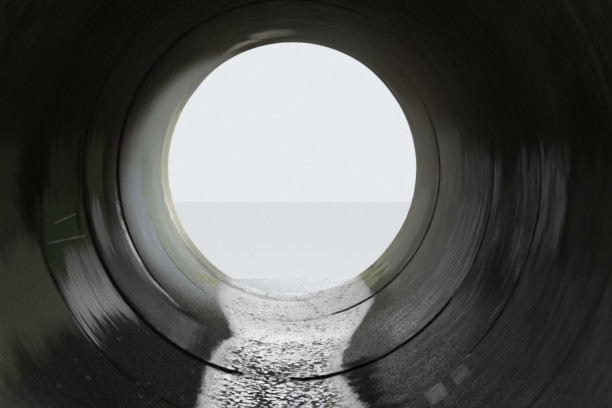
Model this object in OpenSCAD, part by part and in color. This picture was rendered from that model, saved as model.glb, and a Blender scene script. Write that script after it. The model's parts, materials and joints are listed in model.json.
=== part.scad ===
// Concrete culvert headwall with wing walls, an apron and a barrel of precast socketed pipes.
// Millimetres, +Z up. The headwall's outer face lies in the plane y = 0 and looks along -Y.
// The barrel runs back from it along +Y, and everything stands on the level plane z = 0.

/* [Pipe] */
// Inside diameter of the barrel
bore_d = 1500; // [1200:10:1800]
// Thickness of the pipe wall
pipe_wall = 150; // [110:1:190]
// Length that one laid pipe adds to the barrel
lay_length = 1000; // [900:10:1500]
// Number of pipes behind the headwall
pipe_count = 6; // [2:1:6]
// Chamfer on the inner edges of each pipe's ends
pipe_chamfer = 12; // [4:1:20]
// Chamfer round the outside of the spigot, which leads it into the socket
spigot_lead = 16; // [6:1:30]

/* [Socket joint] */
// Depth of the socket
socket_depth = 110; // [100:1:160]
// Radial clearance between a spigot and its socket when they are in line
socket_play = 14; // [10:1:20]
// Thickness of the socket's wall
socket_wall = 108; // [80:1:140]
// Length of the socket's full outside diameter, on from the shoulder inside
bell_back = 40; // [20:1:80]
// Length of the cone between the barrel and the socket's outside
bell_taper = 120; // [60:1:180]
// Gap left between a spigot's end and the shoulder of the socket
end_gap = 12; // [6:1:20]
// Width of the rubber seal
seal_w = 20; // [14:1:26]
// Distance from the spigot's end to the seal
seal_inset = 45; // [35:1:60]
// Depth of the groove that seats the seal
seal_groove = 5; // [3:1:8]
// Depth of the mortar in a pointed joint
mortar_depth = 45; // [20:1:80]
// Distance that the mortar stays back from the bore
mortar_setback = 3; // [0:0.5:6]

/* [Bedding] */
// Thickness of concrete under the pipe's barrel
cradle_under = 350; // [250:5:450]
// Length of one cradle block
cradle_len = 480; // [300:10:500]
// Angle of the pipe's underside that a cradle holds
saddle_angle = 106; // [60:1:130]
// Width of concrete beside the saddle at its top
cradle_horn = 100; // [60:5:160]
// Distance that each flank of a cradle leans out towards its foot
cradle_batter = 60; // [0:5:120]
// Chamfer along the top edges of a cradle
cradle_chamfer = 20; // [5:1:40]

/* [Headwall] */
// Distance that the headwall runs on past each wing wall
wall_end = 560; // [200:10:1200]
// Thickness of the headwall
wall_t = 350; // [300:5:500]
// Inside diameter of the mouth, to which the headwall's ring narrows from the pipes' bore
mouth_d = 1480; // [1470:2:1500]
// Distance that the mouth's centre lies off the first pipe's line, towards -X
mouth_aside = 8; // [0:1:15]
// Distance that the mouth's centre lies above the first pipe's line
mouth_rise = 10; // [0:1:15]
// Distance that the first pipe's spigot enters the back of the headwall
pipe_entry = 100; // [60:5:150]
// Height of wall above the crown of the pipe's outside
wall_above = 450; // [350:10:900]
// Chamfer round the mouth and down the wall's corners
wall_chamfer = 20; // [8:1:35]
// Thickness of wall between the hole for the pipe and the footing's top
footing_cover = 36; // [20:1:80]
// Gap between the footing's heel and the first cradle
footing_gap = 20; // [10:1:60]
// Distance that the footing's toe reaches out under the apron slab
footing_toe = 150; // [80:5:300]
// Height of the mortar collar that closes the joint behind the headwall
collar_rise = 105; // [60:5:150]
// Length of the mortar collar along the pipe
collar_len = 90; // [60:5:120]

/* [Coping] */
// Thickness of the headwall's coping
coping_t = 120; // [80:5:180]
// Distance that a coping stands out past the wall under it
coping_lip = 50; // [30:1:80]
// Radius of the drip groove under the coping
drip_r = 9; // [5:0.5:12]
// Chamfer along the top edges of a coping
coping_chamfer = 20; // [8:1:30]
// Thickness of the wing walls' copings, measured upright
wing_coping_t = 100; // [70:5:130]
// Distance that a wing wall's coping stands out past its faces
wing_lip = 30; // [15:1:60]

/* [Wing walls and apron] */
// Distance from the barrel's side to the near face of a wing wall at the headwall
wing_offset = 200; // [150:5:300]
// Angle between a wing wall and the line of the barrel
wing_flare = 30; // [10:1:40]
// Thickness of the wing walls
wing_t = 250; // [180:5:320]
// Chamfer down the corners of a wing wall's outer end
wing_chamfer = 20; // [5:1:40]
// Step down from the headwall's coping to the top of a wing wall's coping
wing_step = 50; // [20:5:200]
// Height of a wing wall's outer end above the apron
wing_end_h = 900; // [500:10:1200]
// Diameter of the weep holes through the wing walls
weep_d = 75; // [50:5:100]
// Height of the weep holes above the apron
weep_rise = 260; // [150:10:400]
// Fall of a weep hole from the back of its wall to the face, as an angle
weep_fall = 3; // [0:0.5:5]
// Number of weep holes through each wing wall
weep_count = 2; // [1:1:3]
// Distance that the apron and the wing walls reach out from the headwall
apron_len = 1350; // [900:10:1800]
// Thickness of the apron slab
apron_t = 200; // [150:5:300]
// Chamfer along the apron's outer edge
apron_chamfer = 25; // [10:1:50]
// Thickness of the cut-off wall under the apron's outer edge
cutoff_t = 250; // [150:5:350]

/* [Hidden] */
bore_r = bore_d / 2;
out_r = bore_r + pipe_wall;
socket_r = out_r + socket_play;
bell_r = socket_r + socket_wall;
shoulder = lay_length - end_gap;
bell_mouth = shoulder + socket_depth;
bell_start = shoulder - bell_back;
mouth_r = mouth_d / 2;
mouth_lead = 10;
ring_len = wall_t - pipe_entry;
axis_z = cradle_under + out_r;
invert_z = axis_z - bore_r;
wall_top = axis_z + out_r + wall_above;
slab_under = invert_z - apron_t;
footing_h = axis_z - socket_r - footing_cover;
collar_nose = 20;
cradle_mid = (socket_depth - end_gap + bell_start - bell_taper) / 2;
footing_back = ring_len + cradle_mid - cradle_len / 2 - footing_gap;
cradle_half = out_r * sin(saddle_angle / 2) + cradle_horn;
cradle_top = axis_z - out_r * cos(saddle_angle / 2);
wing_foot = bore_r + wing_offset;
wing_skew = wing_t / cos(wing_flare);
wing_top = wall_top - wing_step - wing_coping_t;
wall_w = 2 * (wing_foot + wing_skew + wall_end);
wing_end_z = invert_z + wing_end_h;
coping_skew = wing_lip / cos(wing_flare);
cut = 1;
smooth = 128;

// How far each pipe has settled off the line of the barrel, in shares of the socket's play:
// first towards -X, then upwards. The first pipe and the last one lie in line.
SETTLED_SHARES = [[0.42, -0.28], [-0.22, 0.1], [-0.42, -0.44], [-0.36, -0.34]];

// The pointed stretches of each joint, as clock angles from the crown towards +X and their sweeps
POINTED_ANGLE = [
    [[20, 178], [284, 70]],
    [[136, 206]],
    [[5, 50], [234, 96]],
    [[100, 50], [205, 110]],
    [[40, 55], [170, 40]],
];

// Where the spigot's end of pipe k lies along the barrel
function spigot_y(k) = ring_len + (k - 1) * lay_length;

// The centre of pipe k in the barrel's cross-section
function pipe_centre(k) = k == 1 || k == pipe_count
    ? [0, axis_z]
    : [0, axis_z] + socket_play * [-SETTLED_SHARES[k - 2][0], SETTLED_SHARES[k - 2][1]];

// Turns a shape round the Z axis into one round pipe k's own axis, a distance along the barrel
module on_pipe(k, y) {
    translate([pipe_centre(k)[0], y, pipe_centre(k)[1]]) rotate([-90, 0, 0]) children();
}

// A shape drawn in the plane of Y and Z, drawn out along X about the middle
module across(width) {
    translate([-width / 2, 0, 0]) rotate([90, 0, 90]) linear_extrude(width) children();
}

// A shape drawn in plan, from one level up to another
module upright(low, high) {
    translate([0, 0, low]) linear_extrude(high - low) children();
}

// The section of a pipe's wall, out from its axis and up from its spigot's end
module pipe_section() {
    seal_end = seal_inset + seal_w;
    polygon([
        [bore_r + pipe_chamfer, 0],
        [out_r - spigot_lead, 0],
        [out_r, spigot_lead],
        [out_r, seal_inset],
        [out_r - seal_groove, seal_inset],
        [out_r - seal_groove, seal_end],
        [out_r, seal_end],
        [out_r, bell_start - bell_taper],
        [bell_r, bell_start],
        [bell_r, bell_mouth - mouth_lead],
        [bell_r - mouth_lead, bell_mouth],
        [socket_r + mouth_lead, bell_mouth],
        [socket_r, bell_mouth - mouth_lead],
        [socket_r, shoulder],
        [bore_r + pipe_chamfer, shoulder],
        [bore_r, shoulder - pipe_chamfer],
        [bore_r, pipe_chamfer],
    ]);
}

module pipe(k) {
    color([0.55, 0.53, 0.48]) on_pipe(k, spigot_y(k))
        rotate_extrude($fn = smooth) pipe_section();
}

// The seal fills the play all round: it is round inside on the spigot and round outside in the
// socket, and these two circles share a centre only where neither pipe has settled.
module joint_seal(k) {
    y = spigot_y(k + 1) + seal_inset;
    color([0.1, 0.1, 0.1]) difference() {
        on_pipe(k, y) cylinder(r = socket_r, h = seal_w, $fn = smooth);
        on_pipe(k + 1, y - cut) cylinder(r = out_r - seal_groove, h = seal_w + 2 * cut, $fn = smooth);
    }
}

// Mortar pointing in a joint. It fills the chamfer of the pipe nearer the mouth and the front of
// the gap behind it, up to the next pipe's end.
module joint_mortar(k) {
    face_r = bore_r + mortar_setback;
    back_r = face_r + mortar_depth;
    color([0.66, 0.64, 0.58])
        for (stretch = POINTED_ANGLE[k - 1])
            translate([pipe_centre(k)[0], spigot_y(k + 1) - end_gap, pipe_centre(k)[1]])
                rotate([0, stretch[0] - 90, 0]) rotate([-90, 0, 0])
                    rotate_extrude(angle = stretch[1], $fn = smooth) polygon([
                        [face_r, mortar_setback - pipe_chamfer],
                        [bore_r + pipe_chamfer, 0],
                        [back_r, 0],
                        [back_r, end_gap],
                        [face_r, end_gap],
                    ]);
}

module cradle(k) {
    foot = cradle_half + cradle_batter;
    color([0.6, 0.58, 0.53]) difference() {
        translate([pipe_centre(k)[0], spigot_y(k) + cradle_mid + cradle_len / 2, 0])
            rotate([90, 0, 0]) linear_extrude(cradle_len) polygon([
                [-foot, 0],
                [foot, 0],
                [cradle_half, cradle_top - cradle_chamfer],
                [cradle_half - cradle_chamfer, cradle_top],
                [cradle_chamfer - cradle_half, cradle_top],
                [-cradle_half, cradle_top - cradle_chamfer],
            ]);
        on_pipe(k, spigot_y(k)) cylinder(r = out_r, h = lay_length, $fn = smooth);
    }
}

// The wall's plan, with its four corners chamfered
module wall_plan() {
    half = wall_w / 2;
    c = wall_chamfer;
    polygon([
        [-half + c, 0], [half - c, 0], [half, c], [half, wall_t - c],
        [half - c, wall_t], [-half + c, wall_t], [-half, wall_t - c], [-half, c],
    ]);
}

// The hole through the headwall's ring narrows from the back, where it meets the first pipe's bore
// on the side towards +X, out to the mouth
module headwall() {
    rebate = ring_len - end_gap;
    taper = (bore_r + mouth_aside - mouth_r) / rebate;
    color([0.62, 0.6, 0.55]) difference() {
        upright(footing_h, wall_top) wall_plan();
        on_pipe(1, rebate) cylinder(r = socket_r, h = wall_t, $fn = smooth);
        translate([-mouth_aside, 0, mouth_rise]) on_pipe(1, -cut) {
            cylinder(
                r1 = mouth_r - taper * cut, r2 = mouth_r + taper * (rebate + cut),
                h = rebate + 2 * cut, $fn = smooth);
            cylinder(
                r1 = mouth_r + wall_chamfer + cut, r2 = mouth_r - wall_chamfer,
                h = 2 * wall_chamfer + cut, $fn = smooth);
        }
    }
}

// The footing carries the wall, and its toe carries the near edge of the apron slab
module headwall_footing() {
    color([0.56, 0.54, 0.5]) union() {
        upright(0, footing_h) translate([-wall_w / 2, 0]) square([wall_w, footing_back]);
        upright(0, slab_under)
            translate([-wing_foot, -footing_toe]) square([2 * wing_foot, footing_toe + cut]);
    }
}

// Mortar that beds the first pipe in the headwall, with a collar outside the joint that stands
// on the footing's heel
module barrel_collar() {
    rebate = ring_len - end_gap;
    color([0.66, 0.64, 0.58]) difference() {
        on_pipe(1, 0) rotate_extrude($fn = smooth) polygon([
            [bore_r + pipe_chamfer + mortar_setback, rebate],
            [socket_r, rebate],
            [socket_r, wall_t],
            [out_r + collar_rise, wall_t],
            [out_r + collar_rise, wall_t + collar_nose],
            [out_r, wall_t + collar_len],
            [out_r, ring_len + spigot_lead],
            [out_r - spigot_lead, ring_len],
            [bore_r + pipe_chamfer + mortar_setback, ring_len],
        ]);
        upright(0, footing_h) translate([-bell_r, wall_t]) square([2 * bell_r, lay_length]);
    }
}

module headwall_coping() {
    front = -coping_lip;
    back = wall_t + coping_lip;
    top = wall_top + coping_t;
    c = coping_chamfer;
    drip_at = coping_lip / 2;
    length = wall_w + 2 * coping_lip;
    color([0.68, 0.66, 0.6]) difference() {
        across(length) polygon([
            [front, wall_top], [back, wall_top], [back, top - c],
            [back - c, top], [front + c, top], [front, top - c],
        ]);
        for (y = [front + drip_at, back - drip_at])
            translate([-length / 2 - cut, y, wall_top]) rotate([0, 90, 0])
                cylinder(r = drip_r, h = length + 2 * cut, $fn = 32);
    }
}

// The plan of one wing wall, grown by a lip on its two faces and at its outer end, with the two
// corners of that end chamfered
module wing_plan(lip, end_lip) {
    far = apron_len + end_lip;
    spread = far * tan(wing_flare);
    near_x = wing_foot - lip;
    back_x = wing_foot + wing_skew + lip;
    c = wing_chamfer;
    slide = c * tan(wing_flare);
    polygon([
        [near_x, 0],
        [near_x + spread - slide, c - far],
        [near_x + spread + c, -far],
        [back_x + spread - c, -far],
        [back_x + spread - slide, c - far],
        [back_x, 0],
    ]);
}

// The height of a wing wall's top at a distance out from the headwall
function wing_z(out) = wing_top - (wing_top - wing_end_z) * out / apron_len;

// Weep holes square to the wall's line, evenly spaced along its face
module weep_holes() {
    reach = 2 * wing_t;
    for (i = [1:weep_count]) {
        out = apron_len * i / (weep_count + 1);
        translate([wing_foot + out * tan(wing_flare), -out, invert_z + weep_rise])
            rotate([0, 0, wing_flare]) rotate([0, 90 - weep_fall, 0])
                translate([0, 0, -reach]) cylinder(d = weep_d, h = 3 * reach, $fn = 48);
    }
}

module wing_wall() {
    color([0.6, 0.58, 0.53]) difference() {
        intersection() {
            upright(0, wing_top) wing_plan(0, 0);
            across(2 * (wall_w + apron_len)) polygon([
                [0, 0], [-apron_len, 0], [-apron_len, wing_z(apron_len)], [0, wing_z(0)],
            ]);
        }
        weep_holes();
    }
}

module wing_coping() {
    far = apron_len + wing_lip;
    color([0.68, 0.66, 0.6]) intersection() {
        upright(0, wing_top + wing_coping_t) wing_plan(coping_skew, wing_lip);
        across(2 * (wall_w + apron_len)) polygon([
            [0, wing_z(0)],
            [0, wing_z(0) + wing_coping_t],
            [-far, wing_z(far) + wing_coping_t],
            [-far, wing_z(far)],
        ]);
    }
}

// A plan that reaches from one wing wall to the other between two distances out from the headwall
module between_wings(near, far) {
    near_x = wing_foot + near * tan(wing_flare);
    far_x = wing_foot + far * tan(wing_flare);
    polygon([[-near_x, -near], [near_x, -near], [far_x, -far], [-far_x, -far]]);
}

module apron_slab() {
    c = apron_chamfer;
    color([0.58, 0.57, 0.52]) intersection() {
        upright(slab_under, invert_z) between_wings(0, apron_len);
        across(2 * (wall_w + apron_len)) polygon([
            [0, slab_under], [-apron_len, slab_under], [-apron_len, invert_z - c],
            [-apron_len + c, invert_z], [0, invert_z],
        ]);
    }
}

module cutoff_wall() {
    color([0.56, 0.54, 0.5]) upright(0, slab_under) between_wings(apron_len - cutoff_t, apron_len);
}

headwall();
headwall_footing();
headwall_coping();
barrel_collar();
wing_wall();  // wing_wall_left
mirror([1, 0, 0]) wing_wall();  // wing_wall_right
wing_coping();  // wing_coping_left
mirror([1, 0, 0]) wing_coping();  // wing_coping_right
apron_slab();
cutoff_wall();
for (k = [1:pipe_count]) {
    pipe(k);
    cradle(k);
}
for (k = [1:pipe_count - 1]) {
    joint_seal(k);
    joint_mortar(k);
}
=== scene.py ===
"""Looks of a culvert headwall and its barrel of precast pipes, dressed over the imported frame.

Metres, +Z up. The headwall's outer face is the plane y = 0 and the barrel runs back along +Y.
A clock angle round the barrel starts at the crown and grows towards +X, the left of the main view.
"""

import json
import math

import bmesh
import bpy
import numpy as np
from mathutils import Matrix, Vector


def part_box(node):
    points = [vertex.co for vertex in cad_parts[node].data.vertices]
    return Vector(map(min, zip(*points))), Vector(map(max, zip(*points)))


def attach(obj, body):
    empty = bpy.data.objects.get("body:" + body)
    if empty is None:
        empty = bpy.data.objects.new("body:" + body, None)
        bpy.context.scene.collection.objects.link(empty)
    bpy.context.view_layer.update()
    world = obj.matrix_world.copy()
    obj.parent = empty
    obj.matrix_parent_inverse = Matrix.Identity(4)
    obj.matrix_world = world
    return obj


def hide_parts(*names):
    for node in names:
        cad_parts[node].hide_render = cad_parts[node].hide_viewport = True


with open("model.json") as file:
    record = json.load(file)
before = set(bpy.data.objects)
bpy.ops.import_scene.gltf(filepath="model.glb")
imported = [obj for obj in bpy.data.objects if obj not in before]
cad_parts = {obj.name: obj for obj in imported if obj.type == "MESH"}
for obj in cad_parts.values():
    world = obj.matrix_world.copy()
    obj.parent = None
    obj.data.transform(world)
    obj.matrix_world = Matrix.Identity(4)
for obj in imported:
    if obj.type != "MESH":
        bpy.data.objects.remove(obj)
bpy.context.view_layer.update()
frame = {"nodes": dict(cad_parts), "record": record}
MOUNTS = {mount["name"]: mount for mount in frame["record"]["mounts"]}

# Sizes and places that the frame gives
SOCKET_R = MOUNTS["inlet_socket"]["dims"]["r_mm"] / 1000
AXIS_Z = MOUNTS["inlet_socket"]["pos_m"][2]
PIPES = sorted(name for name in frame["nodes"] if name.startswith("pipe_"))
FIRST_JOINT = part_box(PIPES[0])[0][1]
APRON_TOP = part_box("apron_slab")[1][2]
WALL_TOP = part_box("headwall")[1][2]

# Sizes of a pipe's wall
BORE_R = 0.75
PIPE_WALL = 0.15
SOCKET_DEPTH = 0.11
SOCKET_WALL = 0.108
END_CHAMFER = 0.009
SPIGOT_LEAD = 0.016
BELL_BACK = 0.04
BELL_TAPER = 0.12
MOUTH_LEAD = 0.01
OUT_R = BORE_R + PIPE_WALL
AROUND = 360

# The hole in the headwall, off the barrel's line, and how far from that line its lining reaches
MOUTH_R = 0.74
MOUTH_CENTRE = (-0.008, AXIS_Z + 0.01)
WALL_CHAMFER = 0.02
LINING_R = 0.79
RING_LEN = 0.238

# The main view: where the camera stands and how it looks along the barrel
CAMERA_AT = (-0.013, 8.47, AXIS_Z + 0.037)
CAMERA_DOWN = math.radians(1.61)
CAMERA_ASIDE = math.radians(0.51)
FOCAL_PX = 1430
IMAGE_W_PX = 612
SENSOR_MM = 36

# How rough the film of water or lime is that shines on the concrete
FILM_ROUGHNESS = 0.35

# How far apart the mould's rings lie on a pipe's outside
MOULD_RING = 0.045

# Wear of the pipes' ends, lime on the mouth's ring, and the share of wear that it lets through
RIM_WIDTH = 0.04
RIM_BITES = 0.004
BITE_REACH = 0.024
BELL_CHIPS = 0.012
CRUST = 0.010
RING_WEAR = 0.25

# Silt in a joint: its top by shares of the way over, its lift, how deep it lies, and its run-out
SILT_TOP = [(0, -0.006), (0.12, -0.001), (0.3, 0), (0.6, 0), (0.85, -0.002), (1, -0.006)]
SILT_LIFT = 0.0055
SILT_SINK = 0.006
SILT_DEPTH = 0.008
SILT_RUNOUT = 0.06
SILT_POINTS = 61

# Where silt lies: how far before and behind a joint, and which joint, name and clock angles
SILT_HALF = 0.045
SILT_BEFORE = 0.05
SILT_BEHIND = 0.06
MOUTH_SILT = (36, 221)
SILT_FILLS = [(1, "", (143, 198)), (2, "", (131, 168)), (3, "", (164, 183))]
SILT_FILLS += [(3, "_side", (231, 246)), (4, "", (206, 228))]

# The solids' finest cuts, in from an end, and the height under which they stand and don't wear
EDGE_CUTS = (0.008, 0.022)
STANDS_BELOW = 1e-4

# Angles between faces: what is still flat, what makes an arris, and how far shading stays smooth
FLAT_ANGLE = math.radians(0.5)
ARRIS_ANGLE = math.radians(20)
WORN_SMOOTH_ANGLE = math.radians(35)
SMOOTH_ANGLE = 0.6

# The studio: its sky and floor as they are seen, and its light from below, above and behind
SKY = (0.94, 0.97, 1.0)
SEEN_SKY = 0.85
SEEN_FLOOR = 0.62
FLOOR_REACH = 40.0
LIGHT_BELOW = 0.12
LIGHT_ABOVE = 0.45
SHADE_BEHIND = 0.8

# The lamps: where each stands, what it aims at, its size, watts, colour and spread in degrees
LAMPS = {
    "mouth_light": ((-4.3, -6.0, 2.85), (0.2, 0.6, 1.2), 0.9, 52, (1.0, 0.99, 0.97), 60),
    "side_light": ((2.0, -7.5, 4.2), (-0.4, 2.0, 0.9), 1.5, 16, (1.0, 0.98, 0.94), 50),
    "deep_light": ((-0.3, -11.0, 3.2), (0.0, 3.0, 0.8), 2.0, 10, (0.97, 0.99, 1.0), 40),
    "top_light": ((1.5, 2.6, 9.0), (0.0, 2.6, 0.0), 4.0, 500, (1.0, 1.0, 1.0), 180),
    "back_light": ((-4.0, 9.5, 8.0), (0.0, 3.0, 1.0), 3.0, 350, (1.0, 1.0, 1.0), 180),
}


def value_noise(points, seed):
    """Smooth noise between -1 and 1 at each row of points."""
    cell = np.floor(points).astype(np.int64)
    part = points - cell
    part = part * part * (3 - 2 * part)
    total = np.zeros(len(points))
    for corner in np.ndindex(2, 2, 2):
        key = (cell + corner) @ np.array([73856093, 19349663, 83492791]) + seed * 7919
        key = ((key ^ (key >> 13)) * 1274126177) & 0x7FFFFFFF
        key = (key ^ (key >> 15)) & 0xFFFF
        weight = np.prod(np.where(corner, part, 1 - part), axis=1)
        total += weight * (key / 32767.5 - 1)
    return total


def fractal(points, scale, octaves, seed):
    """Noise with finer and fainter layers; scale is the coarsest layer's waves for each metre."""
    total = np.zeros(len(points))
    for octave in range(octaves):
        total += value_noise(points * scale * 2**octave, seed + octave) / 2**octave
    return total


def smooth_step(value, low, high):
    """0 below low, 1 above high and a smooth rise between them."""
    share = np.clip((value - low) / (high - low), 0, 1)
    return share * share * (3 - 2 * share)


class Shade:
    """Builds one material's nodes. Most methods add nodes and return the last one's output."""

    def __init__(self, owner):
        """Starts on a world, or on a new material of the given name."""
        is_name = isinstance(owner, str)
        self.material = bpy.data.materials.new(owner) if is_name else owner
        self.material.use_nodes = True
        self.tree = self.material.node_tree
        self.tree.nodes.clear()
        self.place = self.node("TexCoord").outputs["Object" if is_name else "Generated"]
        self.x, self.y, self.z = self.split(self.place)

    def put(self, socket, value):
        """Links an output to a socket, or sets the socket's own value."""
        if isinstance(value, bpy.types.NodeSocket):
            self.tree.links.new(value, socket)
        elif isinstance(value, tuple) and len(value) == 3 and socket.type == "RGBA":
            socket.default_value = (*value, 1)
        else:
            socket.default_value = value

    def node(self, kind, inputs=None, **settings):
        """A new node with its settings, and with inputs given by name or number."""
        node = self.tree.nodes.new(f"ShaderNode{kind}")
        for name, value in settings.items():
            setattr(node, name, value)
        for key, value in (inputs or {}).items():
            self.put(node.inputs[key], value)
        return node

    def split(self, vector):
        return self.node("SeparateXYZ", {0: vector}).outputs

    def math(self, operation, first, second=0.0, clamp=False):
        inputs = {0: first, 1: second}
        return self.node("Math", inputs, operation=operation, use_clamp=clamp).outputs[0]

    def add(self, first, second):
        return self.math("ADD", first, second)

    def less(self, first, second):
        return self.math("SUBTRACT", first, second)

    def times(self, first, second):
        return self.math("MULTIPLY", first, second)

    def both(self, *masks):
        """Where all the masks are."""
        total = masks[0]
        for mask in masks[1:]:
            total = self.times(total, mask)
        return total

    def either(self, *masks):
        """Where any of the masks is."""
        total = masks[0]
        for mask in masks[1:]:
            total = self.math("MAXIMUM", total, mask)
        return total

    def without(self, first, second):
        """The first mask where the second one isn't."""
        return self.times(first, self.math("SUBTRACT", 1.0, second, clamp=True))

    def rise(self, value, low, high):
        """0 where value is below low, 1 above high; low may be the greater one."""
        inputs = dict(enumerate((value, low, high, 0.0, 1.0)))
        return self.node("MapRange", inputs, interpolation_type="SMOOTHSTEP").outputs[0]

    def between(self, value, low, high, soft):
        """1 between low and high, with soft edges."""
        off = self.math("ABSOLUTE", self.add(value, -(low + high) / 2))
        half = (high - low) / 2
        return self.rise(off, half + soft, half - soft)

    def shaken(self, value, noise, reach):
        """A value moved up or down by noise, so that an edge drawn with it wanders."""
        return self.add(value, self.times(self.less(noise, 0.5), reach))

    def stretch(self, x, y, z):
        """The object's coordinates, stretched by a factor along each axis."""
        return self.node("Mapping", {"Vector": self.place, "Scale": (x, y, z)}).outputs[0]

    def noise(self, scale, detail=4.0, rough=0.55, at=None):
        place = at or self.place
        inputs = {"Vector": place, "Scale": scale, "Detail": detail, "Roughness": rough}
        return self.node("TexNoise", inputs).outputs[0]

    def cells(self, scale, at=None):
        """Distance from the middle of the nearest of many scattered cells."""
        inputs = {"Vector": at or self.place, "Scale": scale}
        return self.node("TexVoronoi", inputs).outputs["Distance"]

    def tone(self, number):
        """A random value between 0 and 1 for each whole number."""
        node = self.node("TexWhiteNoise", noise_dimensions="1D")
        self.put(node.inputs["W"], self.math("FLOOR", number))
        return node.outputs[0]

    def profile(self, value, points):
        """A smooth curve through points of value and height."""
        (low, _), (high, _) = points[0], points[-1]
        top = max(height for _, height in points)
        node = self.node("FloatCurve")
        curve = node.mapping.curves[0]
        for _ in points[2:]:
            curve.points.new(0.5, 0.5)
        for knot, (place, height) in zip(curve.points, points):
            knot.location = ((place - low) / (high - low), height / top)
        node.mapping.update()
        self.put(node.inputs["Value"], self.times(self.add(value, -low), 1 / (high - low)))
        return self.times(node.outputs[0], top)

    def mix(self, share, first, second):
        inputs = {"Factor": share, "A": first, "B": second}
        return self.node("Mix", inputs, data_type="RGBA").outputs["Result"]

    def paint(self, colour, *layers):
        """Lays tints over a colour, each as a mask, its strength and the tint."""
        for mask, strength, tint in layers:
            colour = self.mix(self.times(mask, strength), colour, tint)
        return colour

    def bump(self, height, distance, strength=1.0, on=None):
        inputs = {"Height": height, "Distance": distance, "Strength": strength}
        if on:
            inputs["Normal"] = on
        return self.node("Bump", inputs).outputs[0]

    def finish(self, colour, rough, normal, specular=0.3, film=None, film_normal=None):
        """Ends the material; film is where a coat of water or polish lies over it."""
        inputs = {"Base Color": colour, "Roughness": rough, "Normal": normal}
        inputs["Specular IOR Level"] = specular
        if film:
            inputs["Coat Weight"] = film
            inputs["Coat Normal"] = film_normal or normal
            inputs["Coat Roughness"] = FILM_ROUGHNESS
        shader = self.node("BsdfPrincipled", inputs)
        self.node("OutputMaterial", {"Surface": shader.outputs[0]})
        return self.material


class Barrel(Shade):
    """A material that knows its place in the barrel: clock angle in degrees and distance along."""

    def __init__(self, name):
        super().__init__(name)
        height = self.less(self.z, AXIS_Z)
        self.clock = self.times(self.math("ARCTAN2", self.x, height), 180 / math.pi)
        self.turned = self.math("ABSOLUTE", self.clock)
        self.drips = self.noise(1.0, 3, 0.6, at=self.stretch(2.2, 26, 2.2))
        self.brush = self.noise(1.0, 3, 0.7, at=self.stretch(7, 55, 7))
        self.strokes = self.noise(1.0, 4, 0.7, at=self.stretch(5, 18, 5))
        self.feathered = self.shaken(self.shaken(self.clock, self.drips, 20), self.brush, 16)
        self.cloudy = self.shaken(self.clock, self.noise(5, 4, 0.6), 18)
        self.shaken_y = self.shaken(self.y, self.noise(6, 3, 0.6), 0.16)
        self.loose_y = self.shaken(self.y, self.noise(1.0, 4, 0.65, at=self.stretch(5, 3, 5)), 0.5)

    def patch(self, along, clock, soft=(0.04, 2.5), kind="drip"):
        """A stain between two distances along and two clock angles, with edges of some kind."""
        turned, wide = {
            "drip": (self.feathered, self.shaken_y),
            "loose": (self.feathered, self.loose_y),
            "cloud": (self.cloudy, self.loose_y),
            "clean": (self.clock, self.y),
        }[kind]
        return self.times(self.between(wide, *along, soft[0]), self.between(turned, *clock, soft[1]))

    def patches(self, places, **how):
        """Several stains, each with its own strength, as one mask."""
        spots = [self.times(self.patch(*spot, **how), strength) for *spot, strength in places]
        return self.either(*spots)


# Stains inside the barrel, with patches of painted light among them: distances along, clock angles
# and strength
WHITE_LIME = [
    ((3.29, 4.27), (116, 128), 1.0),
    ((3.29, 3.95), (110, 117), 0.6),
    ((3.27, 3.42), (126, 132), 0.7),
    ((2.86, 3.12), (99, 114), 0.55),
    ((3.27, 3.36), (-100, -88), 0.35),
]
GREEN_LIME = [
    ((3.28, 4.27), (95, 128), 1.0),
    ((3.4, 3.95), (82, 97), 0.5),
    ((2.72, 3.15), (80, 112), 0.8),
]
OLIVE_LIME = [((3.9, 5.9), (103, 124), 1.0), ((4.45, 5.9), (84, 104), 0.4)]
# Painted light, not lime: a pale patch on the crown by the mouth, where light thrown up off the
# water falls
CROWN_REFLECTED_LIGHT = [((0.36, 0.6), (14, 28), 0.9), ((0.5, 0.86), (0, 16), 0.8)]
BRUSHED = [
    ((2.85, 3.24), (-124, -98), 0.8),
    ((3.27, 3.6), (-126, -102), 1.0),
    ((3.85, 4.24), (-124, -98), 1.0),
]
WASHED = [
    ((3.27, 3.5), (-116, -86), 0.7),
    ((3.5, 3.85), (-112, -92), 0.35),
    ((3.85, 4.2), (-114, -86), 1.1),
    ((4.2, 4.66), (-107, -86), 1.4),
    ((4.8, 6.3), (-125, -88), 0.2),
    ((2.27, 3.2), (-150, -98), 1.0),
    ((2.27, 3.2), (-98, -84), 0.7),
    ((3.27, 4.22), (-165, -124), 0.6),
    ((4.2, 6.3), (-165, -108), 0.5),
    ((2.4, 3.22), (108, 150), 0.7),
    ((1.2, 2.24), (-140, -76), 0.6),
    ((0.1, 0.9), (-136, -98), 0.55),
]
DARK_RUNS = [
    ((4.08, 4.44), (84, 101), 0.35),
    ((4.4, 6.3), (127, 150), 0.35),
    ((0.25, 1.2), (-60, 8), 0.4),
    ((3.4, 4.0), (-120, -108), 0.35),
    ((-0.1, 0.2), (-78, -15), 0.35),
    ((3.12, 3.22), (-118, -88), 0.4),
    ((4.08, 4.26), (-134, -124), 0.3),
    ((4.8, 6.3), (-106, -60), 0.2),
]
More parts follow.
